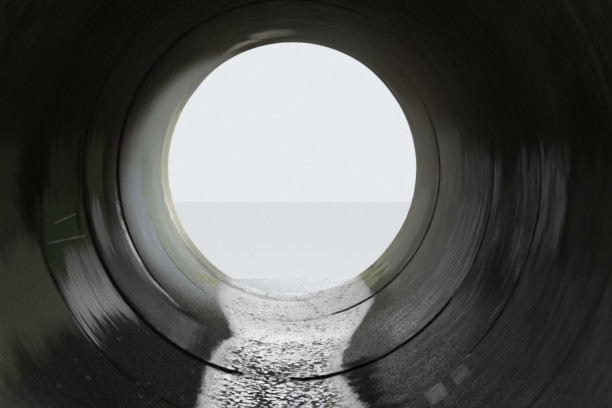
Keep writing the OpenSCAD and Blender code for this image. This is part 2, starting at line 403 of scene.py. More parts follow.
# Dark runs that keep to a joint
JOINT_RUNS = [
    ((4.14, 4.3), (92, 107), 0.5),
    ((4.2, 4.29), (104, 117), 0.55),
    ((3.38, 3.5), (99, 104), 0.7),
]
RUST = [
    ((4.2, 4.8), (133, 147), 0.6),
    ((0.4, 2.5), (-72, -36), 0.35),
    ((2.26, 2.4), (74, 86), 0.6),
]
GREENISH = [
    ((0.9, 2.2), (20, 60), 0.5),
    ((3.3, 6.3), (60, 104), 0.5),
    ((2.3, 3.2), (70, 92), 0.4),
]
# Painted light, not a stain: the blue of skylight in the painted sunlit patch
SKYLIGHT_BLUE = [((1.26, 2.24), (90, 146), 0.9)]
PALE_GREEN = [((0.75, 1.3), (84, 140), 0.9)]
MOSS = [
    ((-0.02, 0.1), (138, 162), 1.0),
    ((0.25, 0.9), (137, 149), 0.75),
    ((1.1, 1.24), (104, 108), 0.9),
]
DRY_MOSS = [((0.03, 0.9), (-151, -133), 1.0), ((-0.02, 0.24), (-140, -104), 0.5)]
SOAKED = [((3.06, 4.3), (-164.5, -157), 0.9)]
MORTAR_DABS = [((4.27, 4.5), (-148, -143.5), 1.0), ((4.27, 4.48), (-141, -137), 0.8)]
# Stains and painted shade with clean edges: distances along, clock angles and the softness of both
# edges
LIME_STRIP = ((2.26, 2.36), (96, 137), (0.025, 9))
# Painted shade: dark lines along two joints, where shade falls in the gap between pipes
JOINT_SHADE_LINES = [
    (((2.24, 2.265), (-24, 58), (0.008, 5)), 0.8),
    (((1.242, 1.262), (58, 93), (0.006, 2)), 0.9),
]
# Scratches along the barrel: distances along, clock angle and its change for each metre
SCRATCHES = [((3.46, 3.94), 100.4, 2.3), ((3.37, 3.8), 106.7, -1.5), ((3.84, 4.15), 106.0, -1.5)]
# Where the wet floor ends, as distances along and clock angles on the two sides
WET_LEFT = [(0, 150), (0.7, 148), (1.2, 150), (1.6, 154.5), (2.0, 158.5)]
WET_LEFT += [(2.25, 160.5), (2.5, 158.5), (3.0, 156.7), (4.1, 158), (6.0, 160)]
WET_RIGHT = [(0, 147), (0.9, 146), (1.4, 147), (1.8, 152), (2.05, 156)]
WET_RIGHT += [(2.4, 159.5), (3.0, 164.5), (3.3, 165), (4.05, 162), (6.0, 158)]
# How much of the wet floor's film shines, by distance along
PUDDLES = [(-0.1, 0.5), (0.5, 0.35), (1.1, 0.36), (1.8, 0.5), (2.2, 0.62)]
PUDDLES += [(2.8, 0.6), (3.3, 0.68), (4.0, 0.74), (6.0, 0.74)]
# How far the painted sunlit patch on the left wall reaches in from the mouth, and at which clock
# angle
SUNLIT_REACH = 2.2
SUNLIT_CLOCK = 110


def wet_depth(s):
    """How many degrees a place lies inside the barrel's wet floor, whose edge winds along it."""
    on_left = s.rise(s.clock, -0.5, 0.5)
    left_edge = s.profile(s.y, WET_LEFT)
    right_edge = s.profile(s.y, WET_RIGHT)
    edge = s.add(s.times(left_edge, on_left), s.without(right_edge, on_left))
    edge = s.shaken(s.shaken(edge, s.noise(9, 3, 0.6), 5), s.noise(70, 1, 0.6), 4)
    return s.less(s.turned, edge)


def paint_stone_shade(s, depth):
    """Painted shade: dark specks where stones stand out of the thin water, in drifts that thicken
    along the barrel.
    """
    fine = s.noise(52, 4, 0.62, at=s.stretch(1, 0.6, 1))
    drifts = s.noise(8, 4, 0.65, at=s.stretch(1, 0.35, 1))
    level = s.add(fine, s.times(s.add(drifts, -0.5), 0.45))
    level = s.add(level, s.times(s.rise(s.y, 1.7, 3.1), 0.125))
    return s.both(s.rise(level, 0.57, 0.66), s.rise(depth, 0.5, 7))


def scratches(s, noise):
    """Thin pale scratches, fainter here and there."""
    lines = []
    for (near, far), clock, slant in SCRATCHES:
        turned = s.less(s.clock, s.times(s.add(s.y, -near), slant))
        off = s.math("ABSOLUTE", s.add(turned, -clock))
        lines.append(s.both(s.rise(off, 0.3, 0.14), s.between(s.y, near, far, 0.03)))
    return s.times(s.either(*lines), s.add(0.45, s.times(s.rise(noise, 0.35, 0.6), 0.55)))


def mark_patterns(s):
    """The patterns that the masks are cut from; the shade keeps both for the layers."""
    s.mottle = s.noise(14, 5, 0.65)
    s.spots = s.noise(5.5, 4, 0.6)
    s.blotches = s.rise(s.spots, 0.42, 0.62)
    s.grain = s.noise(260, 2, 0.6)
    s.gravel = s.cells(105)
    s.clouds = s.noise(2.2, 5, 0.6)
    s.streaks = s.rise(s.strokes, 0.4, 0.62)
    s.weather = s.noise(1.0, 5, 0.65, at=s.stretch(9, 5, 9))
    s.grit = s.noise(110, 3, 0.7, at=s.stretch(1, 0.28, 1))


def mark_zones(s):
    """The low walls, the pale shoulders, and the patch of painted light on the left wall by the
    mouth.
    """
    s.low = s.rise(s.turned, 75, 125)
    s.worn = s.rise(s.turned, 118, 150)
    s.on_left = s.rise(s.clock, -20, 20)
    start = s.add(1.3, s.times(s.on_left, 0.9))
    s.shoulder = s.both(
        s.rise(s.turned, 22, 62),
        s.rise(s.less(s.y, start), 0, 0.2),
        s.rise(s.y, 5.1, 4.4),
    )
    s.near_mouth = s.rise(s.y, 1.7, 0.7)
    facing = s.math("COSINE", s.times(s.add(s.clock, -SUNLIT_CLOCK), math.pi / 180))
    reach = s.times(facing, SUNLIT_REACH)
    # Painted light: where the light falling in through the mouth reaches the left wall
    s.fresh = s.both(
        s.rise(s.less(reach, s.shaken_y), -0.2, 0.6),
        s.on_left,
        s.rise(s.y, 2.34, 2.24),
    )


def mark_stains(s):
    """Lime, algae, dark runs, painted shade along two joints, soaked patches and dabs of mortar."""
    blotchy = s.add(0.65, s.times(s.rise(s.mottle, 0.42, 0.56), 0.65))
    blotchy = s.add(1, s.times(s.rise(s.y, 3.1, 3.4), s.add(blotchy, -1)))
    s.washed = s.times(s.patches(WASHED, soft=(0.07, 3), kind="loose"), blotchy)
    s.green = s.patches(GREEN_LIME)
    s.white = s.both(s.patches(WHITE_LIME), s.rise(s.strokes, 0.3, 0.5))
    olive = s.patches(OLIVE_LIME, soft=(0.06, 5), kind="cloud")
    s.olive = s.both(olive, s.rise(s.y, 4.25, 4.29))
    # Painted light on the crown by the mouth
    crown = s.patches(CROWN_REFLECTED_LIGHT, soft=(0.08, 4), kind="cloud")
    s.crown = s.both(crown, s.rise(s.strokes, 0.3, 0.55))
    s.brushed = s.both(s.patches(BRUSHED), s.rise(s.strokes, 0.54, 0.62))
    s.strip = s.both(s.patch(*LIME_STRIP, "clean"), s.rise(s.weather, 0.42, 0.55))
    s.dark = s.either(
        s.patches(DARK_RUNS, soft=(0.12, 5), kind="loose"),
        s.patches(JOINT_RUNS, soft=(0.025, 3)),
        # Painted shade along two joints
        *(s.times(s.patch(*line, "clean"), strength) for line, strength in JOINT_SHADE_LINES),
    )
    s.eroded = s.both(s.rise(s.feathered, 129, 134), s.rise(s.y, 3.15, 3.3))
    s.soaked = s.patches(SOAKED, kind="cloud")
    dabs = s.patches(MORTAR_DABS, soft=(0.015, 0.4), kind="clean")
    s.dabs = s.both(dabs, s.rise(s.mottle, 0.3, 0.5))


def mark_ring(s):
    """The mouth's ring: creamy with lime on its left flank, brightest along its two lips."""
    s.ring = s.both(s.rise(s.y, 0.27, 0.235), s.rise(s.turned, 45, 75))
    s.cream = s.both(s.ring, s.rise(s.clock, 20, 60), s.rise(s.clock, 138, 110))
    s.joint_line = s.both(s.between(s.y, 0.23, 0.262, 0.006), s.cream)
    lips = s.either(s.between(s.y, 0.17, 0.21, 0.01), s.rise(s.y, 0.05, 0.02))
    s.lip = s.both(s.cream, lips)


def mark_floor(s):
    """Stones, pits and painted shade between the stones of the worn concrete, its scratches and the
    wet floor.
    """
    s.stones = s.both(s.rise(s.gravel, 0.36, 0.16), s.rise(s.noise(80, 1), 0.42, 0.6), s.worn)
    # Painted shade: dark hollows between the stones
    s.hollows = s.both(s.rise(s.gravel, 0.5, 0.7), s.rise(s.noise(70, 1), 0.42, 0.6), s.worn)
    s.pale_bits = s.both(
        s.rise(s.cells(19, at=s.stretch(1, 0.3, 1)), 0.19, 0.12),
        s.rise(s.spots, 0.48, 0.53),
        s.on_left,
        s.rise(s.y, 3.2, 3.5),
    )
    s.pits = s.both(s.rise(s.cells(34), 0.1, 0.05), s.rise(s.spots, 0.5, 0.56))
    s.peppered = s.both(s.rise(s.cells(70), 0.27, 0.12), s.rise(s.mottle, 0.4, 0.55))
    s.scored = scratches(s, s.mottle)
    s.depth = wet_depth(s)
    s.wet = s.rise(s.depth, -0.9, 1.3)
    s.specks = paint_stone_shade(s, s.depth)


def old_concrete(s):
    """The bare concrete: pale on its shoulders and low walls, with a tone for each pipe."""
    # Partly painted shade: the dark base, which shows where no paler layer lies, as on the crown,
    # stands for the upper walls' dirt and their shade
    colour = s.mix(s.clouds, (0.125, 0.11, 0.085), (0.195, 0.178, 0.142))
    return s.paint(
        colour,
        (s.shoulder, 0.75, (0.31, 0.288, 0.232)),
        (s.low, 0.6, (0.31, 0.3, 0.28)),
        (s.without(s.near_mouth, s.on_left), 0.75, (0.46, 0.44, 0.4)),
        (s.both(s.without(s.low, s.on_left), s.rise(s.y, 1.9, 2.6)), 0.5, (0.34, 0.34, 0.335)),
        (s.tone(s.add(s.y, -FIRST_JOINT)), 0.25, (0.14, 0.128, 0.105)),
        (s.rise(s.mottle, 0.45, 0.75), 0.4, (0.33, 0.31, 0.265)),
        (s.blotches, 0.25, (0.36, 0.335, 0.29)),
        (s.patches(GREENISH, kind="cloud"), 0.6, (0.2, 0.225, 0.125)),
        (
            s.without(s.near_mouth, s.on_left),
            s.times(s.rise(s.weather, 0.42, 0.62), 0.4),
            (0.3, 0.285, 0.235),
        ),
    )


def paint_sunlit_wall(s, colour):
    """Painted light where the light from the mouth falls on the left wall, with stains in it."""
    return s.paint(
        colour,
        (s.fresh, 0.9, (0.44, 0.475, 0.46)),
        (s.both(s.fresh, s.near_mouth), 0.6, (0.47, 0.495, 0.46)),
        (s.both(s.fresh, s.patches(SKYLIGHT_BLUE, kind="cloud")), 0.75, (0.4, 0.49, 0.6)),
        (s.both(s.fresh, s.patches(PALE_GREEN, kind="cloud")), 0.8, (0.3, 0.385, 0.27)),
        (s.both(s.fresh, s.rise(s.mottle, 0.4, 0.65)), 0.35, (0.33, 0.36, 0.34)),
        (s.both(s.fresh, s.rise(s.weather, 0.48, 0.64)), 0.3, (0.3, 0.33, 0.28)),
    )


def paint_lime_and_crown_light(s, colour):
    """Lime and algae that have run down the walls and out of the joints, and the crown's painted
    light.
    """
    return s.paint(
        colour,
        (s.times(s.washed, s.add(0.3, s.times(s.streaks, 0.7))), 0.85, (0.46, 0.46, 0.46)),
        (s.brushed, 0.8, (0.66, 0.66, 0.66)),
        (s.green, 0.9, (0.47, 0.68, 0.26)),
        (s.olive, 0.9, (0.8, 0.88, 0.36)),
        # Painted light on the crown, in the warm colour of light thrown up off the water
        (s.crown, 0.9, (0.78, 0.68, 0.5)),
        (s.white, 1.0, (0.68, 0.72, 0.65)),
        (s.both(s.either(s.white, s.green, s.olive), s.peppered), 0.45, (0.12, 0.13, 0.08)),
        (s.strip, 0.9, (0.72, 0.74, 0.74)),
    )


def worn_down(s, colour):
    """Dark runs with painted shade along two joints, rust, and the scoured low walls' stones with
    painted shade between them.
    """
    return s.paint(
        colour,
        (s.dark, 1.0, (0.08, 0.07, 0.055)),
        (s.times(s.worn, s.rise(s.y, 0.3, 2.4)), 0.5, (0.33, 0.325, 0.3)),
        (s.eroded, 0.85, (0.33, 0.31, 0.265)),
        (s.patches(RUST, kind="cloud"), 0.8, (0.24, 0.14, 0.11)),
        (s.stones, 0.75, (0.6, 0.58, 0.54)),
        # Painted shade between the stones
        (s.hollows, 0.7, (0.06, 0.055, 0.045)),
        (s.both(s.rise(s.grit, 0.53, 0.64), s.worn), 0.6, (0.58, 0.57, 0.54)),
        (s.both(s.rise(s.grit, 0.47, 0.36), s.worn), 0.6, (0.1, 0.095, 0.08)),
    )


def bright_marks(s, colour):
    """Pale bits on the floor's edge, scratches and dabs of mortar."""
    return s.paint(
        colour,
        (s.both(s.pale_bits, s.rise(s.turned, 128, 134)), 0.95, (0.85, 0.84, 0.78)),
        (s.scored, 1.0, (0.8, 0.85, 0.75)),
        (s.dabs, 0.95, (0.85, 0.84, 0.81)),
    )


def mouth_ring(s, colour):
    """The mouth's ring with its lime, and the moss beside it."""
    return s.paint(
        colour,
        (s.ring, 0.5, (0.46, 0.45, 0.37)),
        (s.cream, 0.85, (0.7, 0.71, 0.55)),
        (s.both(s.cream, s.rise(s.mottle, 0.45, 0.65)), 0.5, (0.8, 0.74, 0.64)),
        (s.lip, 0.8, (0.9, 0.9, 0.84)),
        (s.joint_line, 0.6, (0.8, 0.66, 0.45)),
        (s.both(s.patches(MOSS), s.rise(s.weather, 0.44, 0.56)), 1.0, (0.3, 0.36, 0.08)),
        (s.both(s.patches(DRY_MOSS), s.rise(s.weather, 0.4, 0.55)), 0.9, (0.62, 0.65, 0.42)),
        (s.both(s.patches(DRY_MOSS), s.rise(s.weather, 0.45, 0.35)), 0.7, (0.2, 0.22, 0.07)),
    )


def paint_wet_floor_and_reflection(s, colour):
    """The soaked patch, the pits, and the wet floor, with painted reflection in its pale blue tint.
    """
    return s.paint(
        colour,
        (s.soaked, 0.85, (0.06, 0.055, 0.048)),
        (s.pits, 0.8, (0.03, 0.028, 0.022)),
        # Partly painted reflection: the wet floor paler and bluer than dry concrete, for the bright
        # mouth that it mirrors
        (s.wet, 0.8, (0.36, 0.375, 0.4)),
        (s.both(s.wet, s.rise(s.y, 1.9, 2.7), s.rise(s.y, 5.4, 4.9)), 0.8, (0.52, 0.37, 0.45)),
        (s.both(s.wet, s.rise(s.grit, 0.5, 0.36)), 0.5, (0.16, 0.15, 0.15)),
        # Painted shade of stones in the water
        (s.both(s.wet, s.specks), 0.85, (0.05, 0.042, 0.045)),
    )


def wall_film(s):
    """How much the walls shine: lime and washed concrete do, dark and soaked places don't."""
    lively = s.add(0.4, s.times(s.streaks, 0.6))
    sheen = s.both(s.rise(s.turned, 108, 132), s.rise(s.y, 1.6, 2.2), lively)
    film = s.either(
        s.times(s.both(s.washed, lively), s.add(0.165, s.times(s.on_left, 0.04))),
        # The painted sunlit patch shines as well
        s.times(
            s.both(s.fresh, lively, s.rise(s.turned, 66, 104)),
            s.less(s.add(0.18, s.times(s.near_mouth, 0.08)), s.times(s.worn, 0.1)),
        ),
        s.times(sheen, s.less(0.075, s.times(s.on_left, 0.045))),
        s.times(s.green, 0.03),
        s.times(s.olive, 0.1),
        # The crown's painted light shines as well
        s.times(s.crown, 0.5),
        s.times(s.brushed, 0.2),
        s.times(s.without(s.white, s.peppered), 0.6),
        s.times(s.strip, 0.5),
    )
    film = s.without(film, s.either(s.dark, s.times(s.eroded, 0.6), s.soaked, s.hollows))
    return s.either(film, s.times(s.cream, 0.17), s.times(s.scored, 0.3), s.times(s.dabs, 0.12))


def floor_film(s):
    """How much the wet floor shines, less at its edge and not on its specks of painted shade."""
    puddle = s.without(s.times(s.wet, s.profile(s.y, PUDDLES)), s.specks)
    return s.times(puddle, s.add(0.6, s.times(s.rise(s.depth, 0.5, 5), 0.4)))


def barrel_inside():
    """The spun concrete inside the pipes: lime, algae, tide marks and the wet floor."""
    s = Barrel("barrel_inside")
    for mark in (mark_patterns, mark_zones, mark_stains, mark_ring, mark_floor):
        mark(s)
    colour = old_concrete(s)
    for layer in (paint_sunlit_wall, paint_lime_and_crown_light, worn_down, bright_marks, mouth_ring, paint_wet_floor_and_reflection):
        colour = layer(s, colour)
    film = wall_film(s)
    puddle = floor_film(s)
    relief = s.add(s.times(s.grain, 0.25), s.times(s.brush, 0.3))
    relief = s.add(relief, s.times(s.both(s.rise(s.gravel, 0.45, 0.1), s.worn), 1.2))
    normal = s.bump(relief, 0.0025, 0.8)
    ripples = s.both(s.noise(26, 4, 0.6), s.rise(s.turned, 143, 153))
    ripples = s.bump(ripples, 0.006, 0.8, on=normal)
    return s.finish(colour, 1.0, normal, 0.0, film=s.either(film, puddle), film_normal=ripples)


def pipe_outside():
    """The pipes' cast outside, with the soil that it lay in still on its flanks."""
    s = Barrel("pipe_outside")
    clouds = s.noise(1.6, 5, 0.6)
    mottle = s.noise(11, 5, 0.65)
    pits = s.both(s.rise(s.cells(38), 0.14, 0.07), s.rise(s.noise(4.5), 0.48, 0.56))
    soil = s.rise(s.shaken(s.turned, s.noise(3.0, 5, 0.6), 60), 70, 115)
    soil = s.both(soil, s.rise(mottle, 0.3, 0.6))
    runs = s.rise(s.noise(1.0, 4, 0.65, at=s.stretch(2, 16, 2)), 0.55, 0.75)
    runs = s.both(runs, s.rise(s.turned, 25, 60))
    rings = s.math("SINE", s.times(s.y, 2 * math.pi / MOULD_RING))
    colour = s.mix(clouds, (0.33, 0.32, 0.29), (0.47, 0.455, 0.415))
    colour = s.paint(
        colour,
        (s.tone(s.add(s.y, -FIRST_JOINT)), 0.18, (0.3, 0.29, 0.25)),
        (s.rise(mottle, 0.5, 0.8), 0.4, (0.55, 0.535, 0.49)),
        (runs, 0.4, (0.6, 0.59, 0.55)),
        (soil, 0.65, (0.2, 0.155, 0.11)),
        (pits, 0.7, (0.13, 0.12, 0.1)),
    )
    relief = s.add(s.times(s.noise(200, 3, 0.7), 0.5), s.times(rings, 0.12))
    relief = s.less(s.add(relief, s.times(soil, s.noise(60, 3, 0.7))), pits)
    return s.finish(colour, 0.88, s.bump(relief, 0.003, 0.8))


class Outdoor(Barrel):
    """Concrete in the weather: its tops, its rain streaks and its damp foot."""

    def __init__(self, name):
        super().__init__(name)
        geometry = self.node("NewGeometry")
        self.up = self.rise(self.split(geometry.outputs["Normal"])[2], 0.6, 0.9)
        self.clouds = self.noise(1.1, 5, 0.6)
        self.mottle = self.noise(9, 5, 0.65)
        self.grain = self.noise(240, 3, 0.7)
        self.runs = self.noise(1.0, 4, 0.65, at=self.stretch(13, 13, 0.7))
        self.pits = self.both(
            self.rise(self.cells(48), 0.17, 0.08), self.rise(self.noise(4.1), 0.5, 0.6)
        )

    def rain_streaks(self, top, reach):
        """Dark runs down a face from a height, fading out below."""
        wandering = self.shaken(self.z, self.runs, 0.9 * reach)
        streaks = self.rise(self.runs, 0.44, 0.62)
        streaks = self.both(streaks, self.rise(wandering, top - reach, top))
        return self.without(streaks, self.up)

    def lichen(self):
        """Crusty patches, most of them on the tops."""
        patches = self.rise(self.noise(7, 6, 0.7), 0.52, 0.6)
        return self.both(patches, self.add(0.15, self.times(self.up, 0.85)))

    def boards(self, width):
        """The joints of horizontal boards on the upright faces, and a tone for each board."""
        rows = self.times(self.shaken(self.z, self.noise(0.8, 2), 0.012), 1 / width)
        within = self.math("FRACT", rows)
        joint = self.either(self.rise(within, 0.035, 0.01), self.rise(within, 0.965, 0.99))
        return self.without(joint, self.up), self.tone(rows)

    def damp(self, top):
        """The dark green foot of a wall, up to a height."""
        return self.rise(self.shaken(self.z, self.noise(2.3, 5, 0.6), 0.5), top + 0.12, top - 0.12)


def cast_concrete():
    """Board-marked walls with rain streaks, damp feet and the mouth's stained ring."""
    s = Outdoor("cast_concrete")
    joints, board_tone = s.boards(width=0.15)
    wood = s.noise(1.0, 4, 0.7, at=s.stretch(5, 5, 120))
    radius = s.math("SQRT", s.add(s.times(s.x, s.x), s.math("POWER", s.add(s.z, -AXIS_Z), 2.0)))
    damp = s.damp(APRON_TOP + 0.25)
    streaks = s.rain_streaks(WALL_TOP, reach=1.3)
    leaks = s.both(
        s.between(s.turned, 128, 150, 8),
        s.rise(s.runs, 0.42, 0.6),
        s.rise(radius, 1.5, 0.8),
    )
    colour = s.mix(s.clouds, (0.33, 0.32, 0.28), (0.5, 0.485, 0.44))
    colour = s.paint(
        colour,
        (board_tone, 0.22, (0.36, 0.345, 0.3)),
        (s.rise(s.mottle, 0.5, 0.8), 0.35, (0.56, 0.545, 0.5)),
        (s.rise(wood, 0.55, 0.8), 0.18, (0.28, 0.265, 0.23)),
        (joints, 0.35, (0.22, 0.21, 0.18)),
        (streaks, 0.6, (0.15, 0.145, 0.12)),
        (s.lichen(), 0.5, (0.52, 0.52, 0.4)),
        (damp, 0.65, (0.14, 0.15, 0.085)),
        (leaks, 0.4, (0.2, 0.2, 0.12)),
        (s.pits, 0.6, (0.13, 0.125, 0.1)),
    )
    relief = s.add(s.times(s.grain, 0.35), s.times(wood, 0.5))
    relief = s.less(s.add(relief, s.times(joints, 1.2)), s.times(s.pits, 1.2))
    rough = s.less(0.92, s.times(damp, 0.2))
    return s.finish(colour, rough, s.bump(relief, 0.003, 0.8))


def coping_concrete():
    """Trowelled copings, pale where they are clean and crusted with lichen and moss on top."""
    s = Outdoor("coping_concrete")
    moss = s.both(s.rise(s.noise(3.3, 6, 0.7), 0.52, 0.62), s.up)
    streaks = s.without(s.rise(s.runs, 0.5, 0.68), s.up)
    colour = s.mix(s.clouds, (0.42, 0.41, 0.36), (0.56, 0.545, 0.5))
    colour = s.paint(
        colour,
        (s.up, 0.35, (0.34, 0.335, 0.28)),
        (s.rise(s.mottle, 0.5, 0.8), 0.4, (0.6, 0.585, 0.54)),
        (streaks, 0.5, (0.2, 0.19, 0.16)),
        (s.lichen(), 0.75, (0.6, 0.6, 0.48)),
        (s.both(s.lichen(), s.rise(s.noise(30), 0.55, 0.62)), 0.8, (0.5, 0.38, 0.1)),
        (moss, 0.8, (0.11, 0.14, 0.035)),
        (s.pits, 0.5, (0.15, 0.14, 0.12)),
    )
    relief = s.less(s.add(s.times(s.grain, 0.5), s.times(moss, 2.0)), s.pits)
    return s.finish(colour, 0.93, s.bump(relief, 0.003, 0.8))


def apron_concrete():
    """The apron's slab: scoured and wet down the middle, silted and green along the wing walls."""
    s = Outdoor("apron_concrete")
    gravel = s.cells(95)
    wander = s.shaken(s.x, s.noise(1.7, 4, 0.6), 0.7)
    stream = s.both(s.between(wander, -0.62, 0.62, 0.12), s.up)
    green = s.both(s.rise(s.noise(4, 6, 0.7), 0.45, 0.6), s.without(s.up, stream))
    stones = s.both(s.rise(gravel, 0.36, 0.16), s.rise(s.noise(60, 1), 0.4, 0.6))
    colour = s.mix(s.clouds, (0.3, 0.285, 0.24), (0.43, 0.41, 0.36))
    colour = s.paint(
        colour,
        (s.rise(s.mottle, 0.45, 0.75), 0.4, (0.36, 0.33, 0.27)),
        (stream, 0.85, (0.2, 0.225, 0.27)),
        (stones, 0.35, (0.46, 0.44, 0.39)),
        (green, 0.65, (0.13, 0.155, 0.055)),
        (s.without(s.damp(0.42), s.up), 0.6, (0.15, 0.14, 0.1)),
        (s.pits, 0.4, (0.12, 0.11, 0.09)),
    )
    relief = s.add(s.times(s.grain, 0.3), s.times(s.rise(gravel, 0.45, 0.1), 0.9))
    normal = s.bump(s.add(relief, s.times(green, 1.5)), 0.003, 0.9)
    sparkle = s.rise(s.noise(70, 4, 0.7, at=s.stretch(1, 0.4, 1)), 0.4, 0.6)
    film = s.times(stream, s.add(0.12, s.times(sparkle, 0.4)))
    return s.finish(colour, 1.0, normal, 0.0, film=film)


def rough_concrete(name, pale, dark, soil):
    """Concrete cast against the ground or rough forms, with soil left on it."""
    s = Outdoor(name)
    joints, board_tone = s.boards(width=0.2)
    earth = s.rise(s.shaken(s.noise(2.6, 6, 0.65), s.mottle, 0.4), 0.46, 0.62)
    colour = s.mix(s.clouds, dark, pale)
    colour = s.paint(
        colour,
        (board_tone, 0.15, dark),
        (s.rise(s.mottle, 0.5, 0.8), 0.35, (0.52, 0.5, 0.45)),
        (earth, soil, (0.21, 0.165, 0.115)),
        (joints, 0.3, (0.2, 0.19, 0.16)),
        (s.pits, 0.6, (0.12, 0.11, 0.09)),
    )
    relief = s.add(s.times(s.grain, 0.6), s.times(s.mottle, 1.2))
    relief = s.less(s.add(relief, joints), s.times(s.pits, 1.5))
    return s.finish(colour, 0.93, s.bump(relief, 0.004, 0.9))


def mortar():
    """Sandy mortar, limewashed and a little stained."""
    s = Outdoor("mortar")
    sand = s.noise(420, 2, 0.7)
    colour = s.mix(s.noise(5, 5, 0.65), (0.36, 0.34, 0.29), (0.56, 0.545, 0.49))
    colour = s.paint(
        colour,
        (s.rise(s.mottle, 0.5, 0.75), 0.5, (0.68, 0.67, 0.62)),
        (s.rise(s.runs, 0.55, 0.7), 0.4, (0.27, 0.245, 0.19)),
    )
    return s.finish(colour, 0.95, s.bump(s.add(sand, s.times(s.mottle, 2)), 0.0025, 0.9))


def seal_rubber():
    """Dusty black rubber."""
    s = Shade("seal_rubber")
    dust = s.rise(s.noise(14, 5, 0.7), 0.45, 0.7)
    colour = s.mix(s.times(dust, 0.5), (0.018, 0.018, 0.018), (0.11, 0.1, 0.085))
    return s.finish(colour, s.add(0.55, s.times(dust, 0.3)), s.bump(s.noise(90), 0.0005, 0.5))


def new_object(name, data):
    """A new object in the scene."""
    thing = bpy.data.objects.new(name, data)
    bpy.context.scene.collection.objects.link(thing)
    return thing


def mesh_object(name, vertices, faces, materials, face_material=None):
    """A new object from arrays of points and of corner numbers, shaded smooth up to an angle."""
    mesh = bpy.data.meshes.new(name)
    mesh.from_pydata(vertices.tolist(), [], faces.tolist())
    for material in materials:
        mesh.materials.append(material)
    if face_material is not None:
        mesh.polygons.foreach_set("material_index", face_material)
    mesh.shade_smooth()
    mesh.set_sharp_from_angle(angle=SMOOTH_ANGLE)
    mesh.validate()
    return new_object(name, mesh)


def settle(thing, slot, *nodes):
    """Lets a piece ride on the part's one body, in place of the CAD nodes that it stands for."""
    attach(thing, "root")
    if nodes:
        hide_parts(*nodes)


def steps(start, end, pitch):
    """Values from start to just short of end, at most a pitch apart."""
    count = max(1, math.ceil(abs(end - start) / pitch))
    return [start + (end - start) * i / count for i in range(count)]


def round_axis(centre, radius, clock, along):
    """Points at a radius and clock angle round a centre in the cross-section."""
    across = centre[0] + radius * np.sin(clock)
    upward = centre[1] + radius * np.cos(clock)
    return np.stack(np.broadcast_arrays(across, along, upward), axis=1)


def tube_faces(rows, turns, closed=True):
    """The quads of a tube: the last row joins the first, and so do each row's ends if closed."""
    quads = turns if closed else turns - 1
    row, turn = np.meshgrid(np.arange(rows), np.arange(quads), indexing="ij")
    row, turn = row.ravel(), turn.ravel()
    next_row, next_turn = (row + 1) % rows, (turn + 1) % turns
    here, after = row * turns, next_row * turns
    return np.stack([here + turn, here + next_turn, after + next_turn, after + turn], axis=1)


def pipe_rows(length):
    """The closed section of a pipe's wall, as rows of radius, distance along and zone."""
    shoulder = length - SOCKET_DEPTH
    bell_start = shoulder - BELL_BACK
    bell_r = SOCKET_R + SOCKET_WALL
    # Each corner's radius and distance along, and the pitch and the zone of the rows that follow
    corners = [
        (BORE_R, END_CHAMFER, 0.006, "bore"),
        (BORE_R, END_CHAMFER + RIM_WIDTH, 0.016, "bore"),
        (BORE_R, shoulder - END_CHAMFER - RIM_WIDTH, 0.006, "bore"),
        (BORE_R, shoulder - END_CHAMFER, 0.006, "end"),
        (BORE_R + END_CHAMFER, shoulder, 0.03, "end"),
        (SOCKET_R, shoulder, 0.03, "end"),
        (SOCKET_R, length - MOUTH_LEAD, 0.03, "end"),
        (SOCKET_R + MOUTH_LEAD, length, 0.02, "out"),
        (bell_r - MOUTH_LEAD, length, 0.02, "out"),
        (bell_r, length - MOUTH_LEAD, 0.02, "out"),
        (bell_r, bell_start, 0.03, "out"),
        (OUT_R, bell_start - BELL_TAPER, 0.04, "out"),
        (OUT_R, SPIGOT_LEAD, 0.02, "end"),
        (OUT_R - SPIGOT_LEAD, 0, 0.03, "end"),
        (BORE_R + END_CHAMFER, 0, 0.006, "end"),
    ]
    rows = []
    for here, after in zip(corners, corners[1:] + corners[:1]):
        (r0, y0, pitch, zone), (r1, y1) = here, after[:2]
        span = math.hypot(r1 - r0, y1 - y0)
        for share in steps(0, 1, pitch / span):
            rows.append((r0 + (r1 - r0) * share, y0 + (y1 - y0) * share, zone))
    return rows


def pipe_wear(clock, radius, along, zones, length, seed):
    """How far each point of a pipe is worn away, out from the axis."""
    shoulder = length - SOCKET_DEPTH
    points = round_axis((0, 0), radius, clock, along + seed)
    low = smooth_step(np.abs(clock), math.radians(110), math.radians(160))
    ripple = 0.0008 * (1 + fractal(points, 2.5, 3, seed))
    scour = low * (0.0016 + 0.0016 * fractal(points, 45, 2, seed + 20))
    out = np.where(zones == "bore", ripple + scour, 0)
    on_rim = radius < BORE_R + 2 * END_CHAMFER
    reach = np.minimum(np.abs(along), np.abs(along - shoulder))
    near = np.where(on_rim, smooth_step(-reach, -BITE_REACH, -0.003), 0)
    large = smooth_step(fractal(points, 9, 3, seed + 40), 0.35, 1.1)
    small = 0.25 * (1 + value_noise(points * 60, seed + 50))
    out += near * (RIM_BITES + 0.002 * low) * (large + small)
    out -= np.where(zones == "out", 0.0012 * (1 + fractal(points, 6, 3, seed + 60)), 0)
    bell = (zones == "out") & (along > shoulder)
    chips = smooth_step(fractal(points, 5, 4, seed + 70), 0.75, 1.3)
    out -= np.where(bell, BELL_CHIPS * chips, 0)
    return out


